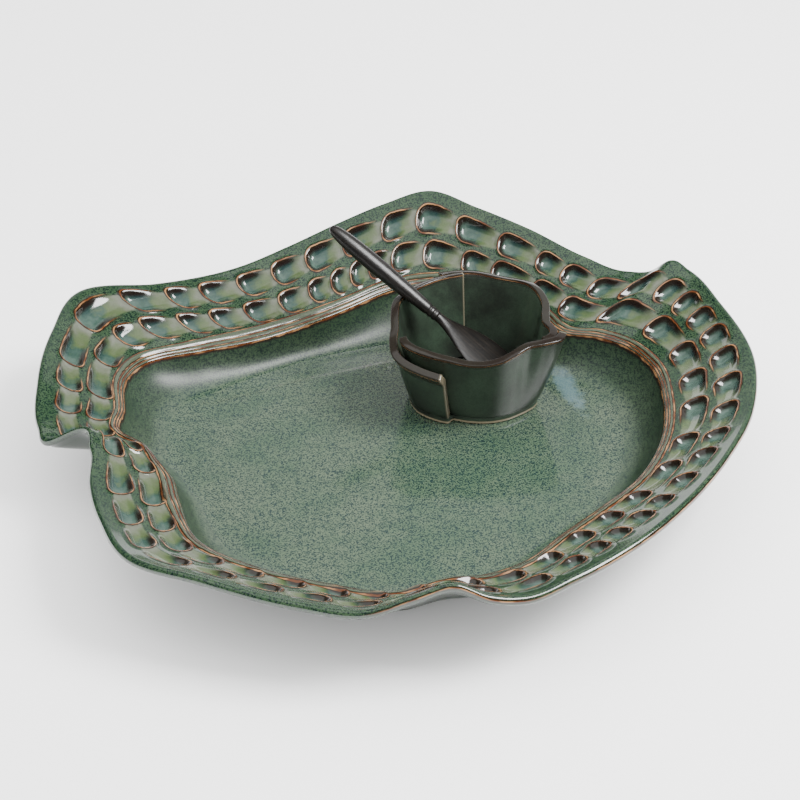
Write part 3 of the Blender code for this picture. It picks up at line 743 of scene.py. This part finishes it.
WALL_SLABS = {
    "left": (96, 248, ((96, 3), (125, 2), (160, 1), (185, -0.5), (205, -2), (222, -6),
                       (248, -12))),
    "front": (212, 340, ((212, 1), (232, -1.5), (250, -4), (272, -5.5), (290, -4), (306, -1),
                         (325, 0), (340, 0))),
    "back": (328, 472, ((328, -1), (350, 0), (383, 0), (405, 1), (428, 0), (450, 1.5), (472, 2))),
}


def along(stations, positions):
    """Smooth open curve through the stations."""
    at = np.array([row[0] for row in stations], float)
    value = np.array([row[1] for row in stations], float)
    slope = np.gradient(value, at)
    left = np.clip(np.searchsorted(at, positions, side="right") - 1, 0, len(at) - 2)
    return hermite(at, value, slope, left, np.asarray(positions, float))


def slab_reach(name, bearing, height):
    """How far the middle of a wall slab stands out from the bowl's middle."""
    first, last, _ = WALL_SLABS[name]
    share = np.clip(((bearing - first) / (last - first) - LAP_START) / LAP_RUN, 0.0, 1.0)
    stand = (SLAB_THICKNESS + LAP_GAP) / 2 * (2 * (3 * share**2 - 2 * share**3) - 1)
    climb = (np.maximum(height, 0.0) / BOWL_WALL_HEIGHT)**BOWL_FLARE
    corner = MM * around(BOWL_OUTLINE, 1, bearing)
    return (BOWL_RADIUS * (BOWL_FOOT_SHARE + (1 - BOWL_FOOT_SHARE) * climb)
            + corner * (1 - BOWL_FOOT_ROUNDNESS * (1 - climb)) + stand)


def wall_slab(name, roll):
    """One rolled slab: a flat sheet bent round the base, given its thickness and soft edges."""
    first, last, top_line = WALL_SLABS[name]
    bpy.ops.object.select_all(action="DESELECT")
    bpy.ops.mesh.primitive_grid_add(x_subdivisions=last - first, y_subdivisions=26, size=1.0)
    slab = bpy.context.active_object
    slab.name = "bowl_wall_" + name
    flat = read_points(slab.data)
    along_slab, up_slab = flat[:, 0] + 0.5, flat[:, 1] + 0.5
    bearing = first + along_slab * (last - first)
    top = BOWL_WALL_HEIGHT + MM * along(top_line, bearing)
    height = up_slab * top
    reach = slab_reach(name, bearing, height) + MM * roll(bearing, up_slab)
    turn = np.radians(bearing)
    base = BOWL_FLOOR + BOWL_BASE_THICKNESS + SLAB_GAP
    write_points(slab.data, np.stack((BOWL_X + reach * np.cos(turn),
                                      BOWL_Y + reach * np.sin(turn), base + height), -1))
    only_select(slab)
    thick = slab.modifiers.new("thickness", "SOLIDIFY")
    thick.thickness = SLAB_THICKNESS
    thick.offset = 0.0
    thick.use_even_offset = True
    soft = slab.modifiers.new("soft_edge", "BEVEL")
    soft.width = SLAB_EDGE
    soft.segments = 4
    soft.limit_method = "ANGLE"
    bpy.ops.object.modifier_apply(modifier="thickness")
    bpy.ops.object.modifier_apply(modifier="soft_edge")
    slab.data.shade_smooth()
    return slab


def dark_glaze(name, base_line, groove_lines=(), cut_ends=()):
    """Near-black glaze with green clouds, brown and metallic where it thins at the rim."""
    material, tree, shader = new_material(name)
    place = node(tree, "TexCoord").outputs["Object"]
    mm = node(tree, "VectorMath", {0: place, "Scale": 1000.0}, operation="SCALE").outputs[0]
    speckled = use_group(tree, speckle_group, {
        "Vector": mm, "Light": DARK_GREEN, "Body": DARK_BODY, "Speck": DARK_SPECK,
        "Speck Amount": 0.35})
    sheet = node(tree, "SeparateXYZ", {0: node(tree, "UVMap", uv_map="UVMap").outputs[0]})
    down = calc(tree, "MULTIPLY", calc(tree, "SUBTRACT", 1.0, sheet.outputs[1]),
                BOWL_WALL_HEIGHT / MM)
    at_rim = step_mask(tree, down, 3.2, 0.3)
    colour = mixed(tree, calc(tree, "MULTIPLY", at_rim, 0.85), speckled["Color"], RIM_BROWN)
    rim = use_group(tree, break_group, {"Vector": mm, "Glaze": colour, "Width": 0.55,
                                        "Distance": calc(tree, "SUBTRACT", down, 0.9),
                                        "Strength": 0.6})
    colour = rim["Color"]
    height = node(tree, "SeparateXYZ", {0: mm}).outputs[2]
    foot = step_mask(tree, height, base_line + 0.25, base_line - 0.25)
    colour = mixed(tree, foot, colour, FOOT_CREAM)
    for line in groove_lines:
        lines = use_group(tree, break_group, {
            "Vector": mm, "Glaze": colour, "Distance": calc(tree, "SUBTRACT", down, line),
            "Width": 0.6, "Strength": step_mask(tree, sheet.outputs[0], 0.70, 0.80)})
        colour = lines["Color"]
    for end in cut_ends:
        gap = calc(tree, "ABSOLUTE", calc(tree, "SUBTRACT", sheet.outputs[0], end))
        colour = mixed(tree, calc(tree, "MULTIPLY", step_mask(tree, gap, 0.012, 0.003), 0.8),
                       colour, END_CREAM)
    tree.links.new(colour, shader.inputs["Base Color"])
    tree.links.new(mixed(tree, at_rim, (0.30, 0.30, 0.30), (0.10, 0.10, 0.10)),
                   shader.inputs["Roughness"])
    shader.inputs["IOR"].default_value = 1.52
    bump = node(tree, "Bump", {"Height": speckled["Height"], "Strength": 0.05, "Distance": 0.0004})
    tree.links.new(bump.outputs[0], shader.inputs["Normal"])
    return material


DARK_GREEN = (0.028, 0.046, 0.029, 1.0)
DARK_BODY = (0.011, 0.0135, 0.010, 1.0)
DARK_SPECK = (0.004, 0.006, 0.006, 1.0)
RIM_BROWN = (0.012, 0.008, 0.007)
END_CREAM = (0.120, 0.105, 0.070)
FOOT_CREAM = (0.20, 0.17, 0.11)


def left_roll(bearing, up):
    """The left slab's front end is folded outward at its top edge."""
    return 4.2 * smooth_step(192, 232, bearing) * smooth_step(0.76, 1.0, up)


def no_roll(bearing, up):
    """The other two slabs stand plain."""
    return 0.0 * up


CUT_ENDS = {"left": (0.0, 1.0), "front": (1.0,), "back": ()}
ROLLS = {"left": left_roll, "front": no_roll, "back": no_roll}
LEFT_GROOVES = (1.5, 4.0, 6.5)      # lines on the rolled end, millimetres below its top
for wall in WALL_SLABS:
    slab = wall_slab(wall, ROLLS[wall])
    slab.data.materials.append(dark_glaze("dark_glaze_" + wall, 0.0,
                                          LEFT_GROOVES if wall == "left" else (),
                                          CUT_ENDS[wall]))
    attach(slab, "dip_bowl")
    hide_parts("dip_bowl_wall_" + wall)

bpy.ops.object.select_all(action="DESELECT")
bpy.ops.mesh.primitive_circle_add(vertices=180, radius=1.0, fill_type="NGON")
bowl_base = bpy.context.active_object
bowl_base.name = "bowl_base_slab"
ring = read_points(bowl_base.data)
bearing = np.degrees(np.arctan2(ring[:, 1], ring[:, 0])) % 360.0
reach = np.zeros(len(ring))
for wall, (first, last, _) in WALL_SLABS.items():
    for turned in (bearing, bearing + 360.0):
        on_wall = (turned >= first) & (turned <= last)
        out = slab_reach(wall, np.clip(turned, first, last), np.zeros(len(ring)))
        reach = np.maximum(reach, np.where(on_wall, out + SLAB_THICKNESS / 2, 0.0))
turn = np.radians(bearing)
write_points(bowl_base.data, np.stack((BOWL_X + reach * np.cos(turn), BOWL_Y + reach * np.sin(turn),
                                       np.full(len(ring), BOWL_FLOOR)), -1))
only_select(bowl_base)
bpy.ops.object.mode_set(mode="EDIT")
bpy.ops.mesh.select_all(action="SELECT")
bpy.ops.mesh.extrude_region_move(TRANSFORM_OT_translate={"value": (0, 0, BOWL_BASE_THICKNESS)})
bpy.ops.mesh.select_all(action="SELECT")
bpy.ops.mesh.normals_make_consistent(inside=False)
bpy.ops.object.mode_set(mode="OBJECT")
rounded = bowl_base.modifiers.new("worn_edge", "BEVEL")
rounded.width = BASE_EDGE
rounded.segments = 2
rounded.limit_method = "ANGLE"
bpy.ops.object.modifier_apply(modifier="worn_edge")
bowl_base.data.shade_smooth()
bowl_base.data.materials.append(dark_glaze("dark_glaze_base", (BOWL_FLOOR + 0.0016) / MM))
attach(bowl_base, "dip_bowl")
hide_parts("dip_bowl_base")


# ------------------------------------------------------------------------------------------
# Spreader
# One piece of hard wood, carved and stained black: a swelling handle, three rings turned at the
# neck, and a flat blade that stands in the bowl.
SPREADER_LENGTH, SPREADER_ROLL = 0.1290, math.radians(12.0)
REST_OUT, TIP_OUT = (-0.906, 0.452), (0.522, -0.066)    # in shares of the bowl's radius
TIP_HEIGHT, REST_CLEARANCE = 0.0047, 0.0002
HANDLE_HALF, HANDLE_FLATNESS = 5.40, 0.80
SPREADER_SECTIONS = (           # share of the length, half-width and half-thickness in millimetres
    (0.000, 1.4, 1.1), (0.012, 2.7, 2.2), (0.035, 3.7, 3.0), (0.090, 4.8, 3.8), (0.170, 5.3, 4.2),
    (0.260, 5.4, 4.3), (0.360, 5.0, 4.0), (0.450, 4.3, 3.5), (0.520, 3.7, 3.0), (0.532, 3.7, 3.0),
    (0.538, 2.9, 2.4), (0.544, 3.6, 2.9), (0.554, 3.6, 2.9), (0.560, 2.9, 2.4), (0.566, 3.5, 2.8),
    (0.576, 3.5, 2.8), (0.582, 2.7, 2.2), (0.588, 3.1, 2.5), (0.600, 2.9, 2.2), (0.645, 4.6, 1.9),
    (0.690, 7.0, 1.6), (0.745, 10.3, 1.4), (0.815, 12.7, 1.2), (0.890, 13.5, 1.1),
    (0.950, 12.2, 0.9), (0.985, 8.1, 0.7), (1.000, 3.2, 0.5),
)
bpy.ops.object.select_all(action="DESELECT")
bpy.ops.mesh.primitive_circle_add(vertices=28, radius=MM, fill_type="NGON",
                                  rotation=(0.0, math.pi / 2, 0.0))
spreader = bpy.context.active_object
spreader.name = "carved_spreader"
bpy.ops.object.transform_apply(location=True, rotation=True, scale=True)
bpy.ops.object.mode_set(mode="EDIT")
bpy.ops.mesh.select_all(action="SELECT")
bpy.ops.transform.resize(value=(1.0, SPREADER_SECTIONS[0][1], SPREADER_SECTIONS[0][2]),
                         center_override=(0.0, 0.0, 0.0))
for (near, wide, thick), (far, next_wide, next_thick) in zip(SPREADER_SECTIONS,
                                                             SPREADER_SECTIONS[1:]):
    bpy.ops.mesh.extrude_region_move(
        TRANSFORM_OT_translate={"value": ((far - near) * SPREADER_LENGTH, 0.0, 0.0)})
    bpy.ops.transform.resize(value=(1.0, next_wide / wide, next_thick / thick),
                             center_override=(far * SPREADER_LENGTH, 0.0, 0.0))
bpy.ops.mesh.select_all(action="SELECT")
bpy.ops.mesh.normals_make_consistent(inside=False)
bpy.ops.object.mode_set(mode="OBJECT")
smoothed = spreader.modifiers.new("sanded", "SUBSURF")
smoothed.levels = smoothed.render_levels = 2
bpy.ops.object.modifier_apply(modifier="sanded")
spreader.data.shade_smooth()
grain = read_points(spreader.data)
write_attribute(spreader.data, "grain", grain / MM)
bowl_middle = Vector((BOWL_X, BOWL_Y, BOWL_FLOOR + BOWL_BASE_THICKNESS))
tip = bowl_middle + Vector((TIP_OUT[0] * BOWL_RADIUS, TIP_OUT[1] * BOWL_RADIUS, TIP_HEIGHT))
rest = bowl_middle + Vector((REST_OUT[0] * BOWL_RADIUS, REST_OUT[1] * BOWL_RADIUS, 0.0))
rest_bearing = math.degrees(math.atan2(REST_OUT[1], REST_OUT[0]))
rim_height = BOWL_WALL_HEIGHT + MM * float(along(WALL_SLABS["left"][2], rest_bearing))
slope = math.atan2(rim_height - TIP_HEIGHT, math.hypot(tip.x - rest.x, tip.y - rest.y))
under = HANDLE_HALF * MM * HANDLE_FLATNESS + REST_CLEARANCE
rest.z += rim_height + under / math.cos(slope) + SLAB_THICKNESS / 2 * math.tan(slope)
ahead = (tip - rest).normalized()
side = Vector((0.0, 0.0, 1.0)).cross(ahead).normalized()
lie = Matrix((ahead, side, ahead.cross(side))).transposed().to_4x4()
spreader.data.transform(Matrix.Translation(tip - ahead * SPREADER_LENGTH) @ lie
                        @ Matrix.Rotation(SPREADER_ROLL, 4, "X"))

wood, tree, shader = new_material("ebonised_hardwood")
fibre = node(tree, "VectorMath", {0: node(tree, "Attribute", attribute_name="grain",
                                          attribute_type="GEOMETRY").outputs["Vector"],
                                  1: (0.05, 1.0, 1.0)}, operation="MULTIPLY").outputs[0]
streak = node(tree, "TexNoise", {"Vector": fibre, "Scale": 1.4, "Detail": 4.0}).outputs[0]
pores = node(tree, "TexNoise", {"Vector": fibre, "Scale": 4.5, "Detail": 2.0}).outputs[0]
tree.links.new(colour_ramp(tree, streak, ((0.30, (0.003, 0.003, 0.003)),
                                          (0.55, (0.007, 0.006, 0.005)),
                                          (0.75, (0.018, 0.014, 0.011)))),
               shader.inputs["Base Color"])
tree.links.new(node(tree, "MapRange", {0: pores, 1: 0.3, 2: 0.7, 3: 0.26, 4: 0.42}).outputs[0],
               shader.inputs["Roughness"])
to_tip = node(tree, "SeparateXYZ", {0: fibre}).outputs[0]
tree.links.new(node(tree, "MapRange", {0: to_tip, 1: 3.7, 2: 4.2, 3: 0.5, 4: 0.10}).outputs[0],
               shader.inputs["Specular IOR Level"])
bump = node(tree, "Bump", {"Height": pores, "Strength": 0.12, "Distance": 0.0003})
tree.links.new(bump.outputs[0], shader.inputs["Normal"])
spreader.data.materials.append(wood)
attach(spreader, "spreader")
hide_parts("spreader")
